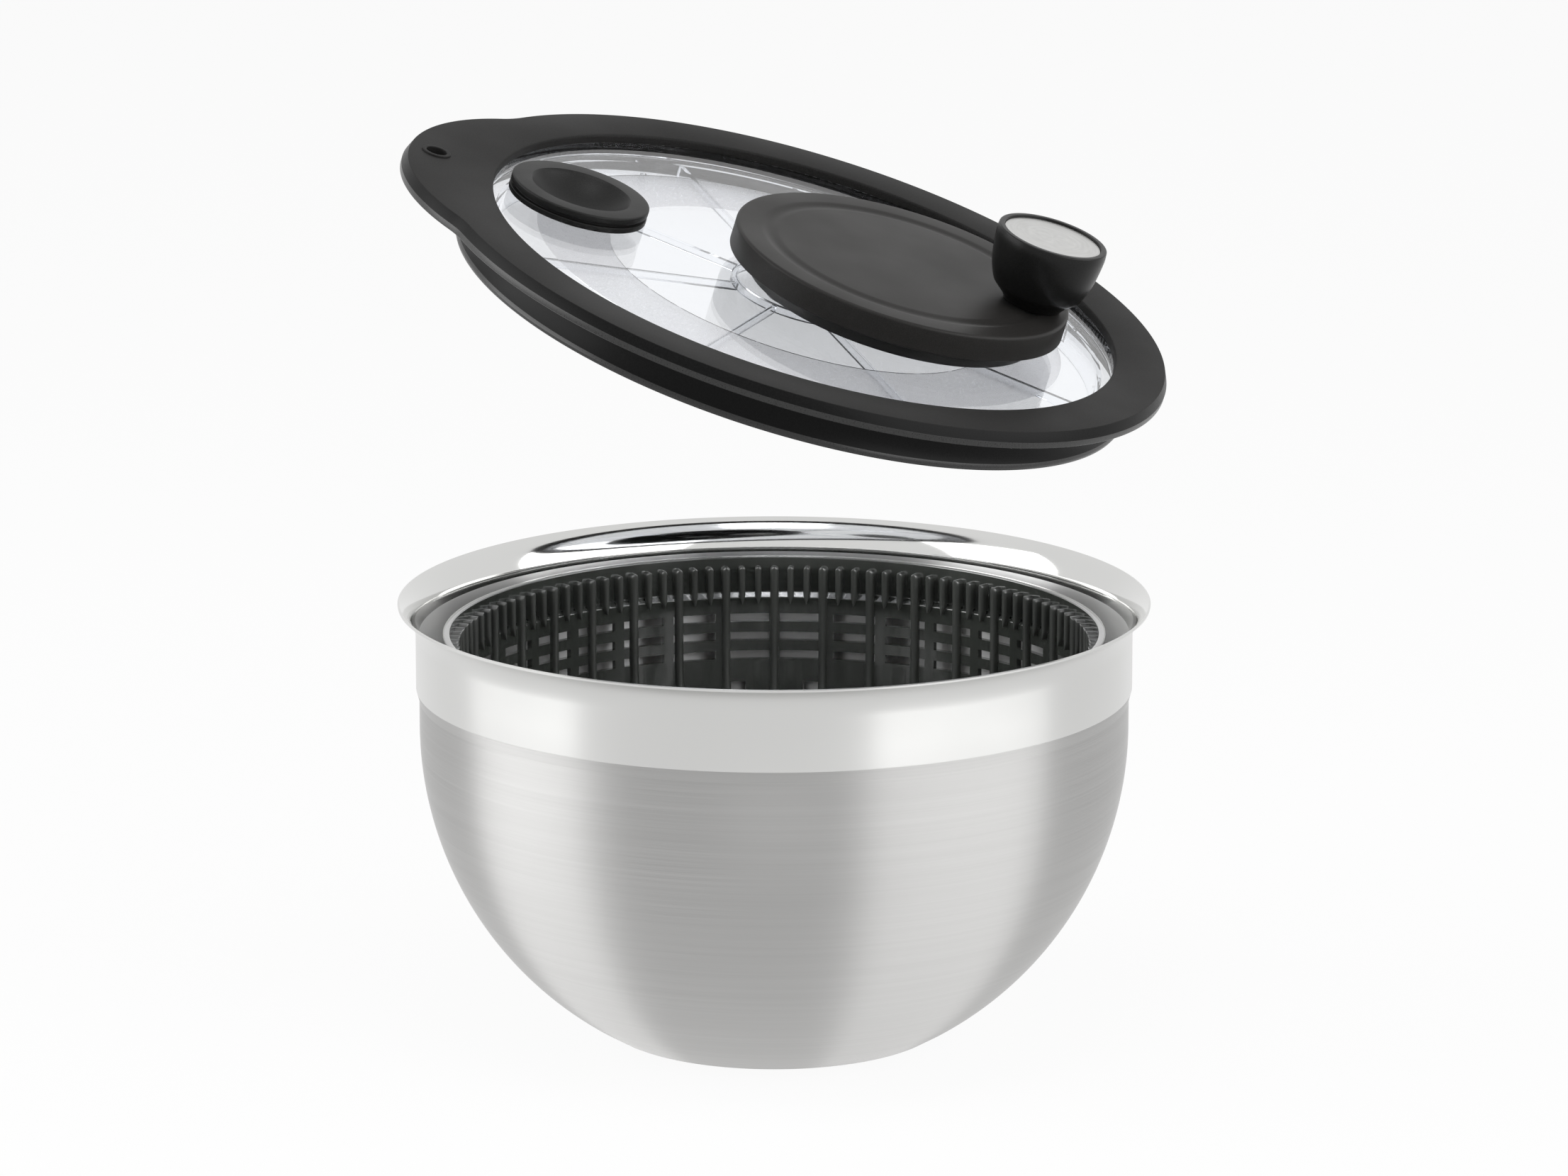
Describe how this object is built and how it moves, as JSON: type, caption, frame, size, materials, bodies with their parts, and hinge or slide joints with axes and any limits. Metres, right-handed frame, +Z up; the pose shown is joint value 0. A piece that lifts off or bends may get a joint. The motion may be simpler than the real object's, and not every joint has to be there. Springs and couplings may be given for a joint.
{
  "type": "salad spinner",
  "caption": "Steel salad bowl with a ribbed spinning basket and a clear crank lid that turns it through an internal gear; the lid is shown lifted off.",
  "frame": {"origin": "centre of the flat face that the bowl stands on", "axes": "+Z up along the bowl's axis, +X to the right with the crank knob, +Y away from the viewer"},
  "size_m": [0.2585, 0.2574, 0.3059],
  "materials": {
    "bowl_steel": "fine brushed body with a polished band and rim",
    "smoke_plastic": "glossy dark smoke, slightly see-through",
    "black_plastic": "fine matt",
    "soft_black": "fine-grained matt, soft touch",
    "silicone": "matt silicone",
    "clear_plastic": "clear, polished",
    "driver_clear": "clear with a faint blue tint and one frosted ring",
    "white_plastic": "natural bearing plastic",
    "steel_pin": "turned",
    "insert_steel": "brushed"
  },
  "bodies": {
    "bowl": {"bowl": "bowl_steel"},
    "foot": {"foot_pad": "silicone", "pivot_foot": "black_plastic", "pivot_pin": "steel_pin"},
    "basket": {"basket": "smoke_plastic", "basket_bush": "white_plastic"},
    "lid": {"silicone_rim": "silicone", "window_plate": "clear_plastic", "gear_housing": "black_plastic", "housing_screws": "steel_pin", "centre_bush": "white_plastic", "axle_bush": "white_plastic"},
    "crank": {"crank_disc": "soft_black", "crank_axle": "steel_pin", "ring_gear": "white_plastic", "knob_pin": "steel_pin", "knob_screw": "steel_pin"},
    "knob": {"knob": "soft_black", "knob_insert": "insert_steel"},
    "driver": {"driver_disc": "driver_clear", "drive_shaft": "steel_pin", "pinion": "white_plastic", "shaft_clip": "steel_pin"},
    "plug": {"plug": "silicone"}
  },
  "joints": [
    {"name": "basket_lift", "type": "slide", "parent": "bowl", "child": "foot", "axis": [0, 0, 1], "range_m": [0, 0.16]},
    {"name": "basket_spin", "type": "hinge", "parent": "foot", "child": "basket", "pos_m": [0, 0, 0.012], "axis": [0, 0, 1], "continuous": true},
    {"name": "lid_lift", "type": "hinge", "parent": "foot", "child": "lid", "pos_m": [0.31568, -0.14788, 0.1722], "axis": [0.4242, 0.9056, 0], "range_deg": [-18.14, 22]},
    {"name": "crank_spin", "type": "hinge", "parent": "lid", "child": "crank", "pos_m": [0.03988, -0.00713, 0.25496], "axis": [0.2819, -0.1321, 0.9503], "continuous": true},
    {"name": "knob_spin", "type": "hinge", "parent": "crank", "child": "knob", "pos_m": [0.08825, -0.01286, 0.26086], "axis": [0.2819, -0.1321, 0.9503], "continuous": true},
    {"name": "driver_spin", "type": "hinge", "parent": "lid", "child": "driver", "pos_m": [0.0107, -0.00501, 0.26391], "axis": [0.2819, -0.1321, 0.9503], "continuous": true},
    {"name": "plug_pull", "type": "slide", "parent": "lid", "child": "plug", "axis": [0.2819, -0.1321, 0.9503], "range_m": [0, 0.03]}
  ],
  "couplings": [
    {"joint": "crank_spin", "follows": "basket_spin", "ratio": 0.25},
    {"joint": "driver_spin", "follows": "basket_spin", "ratio": 1}
  ]
}
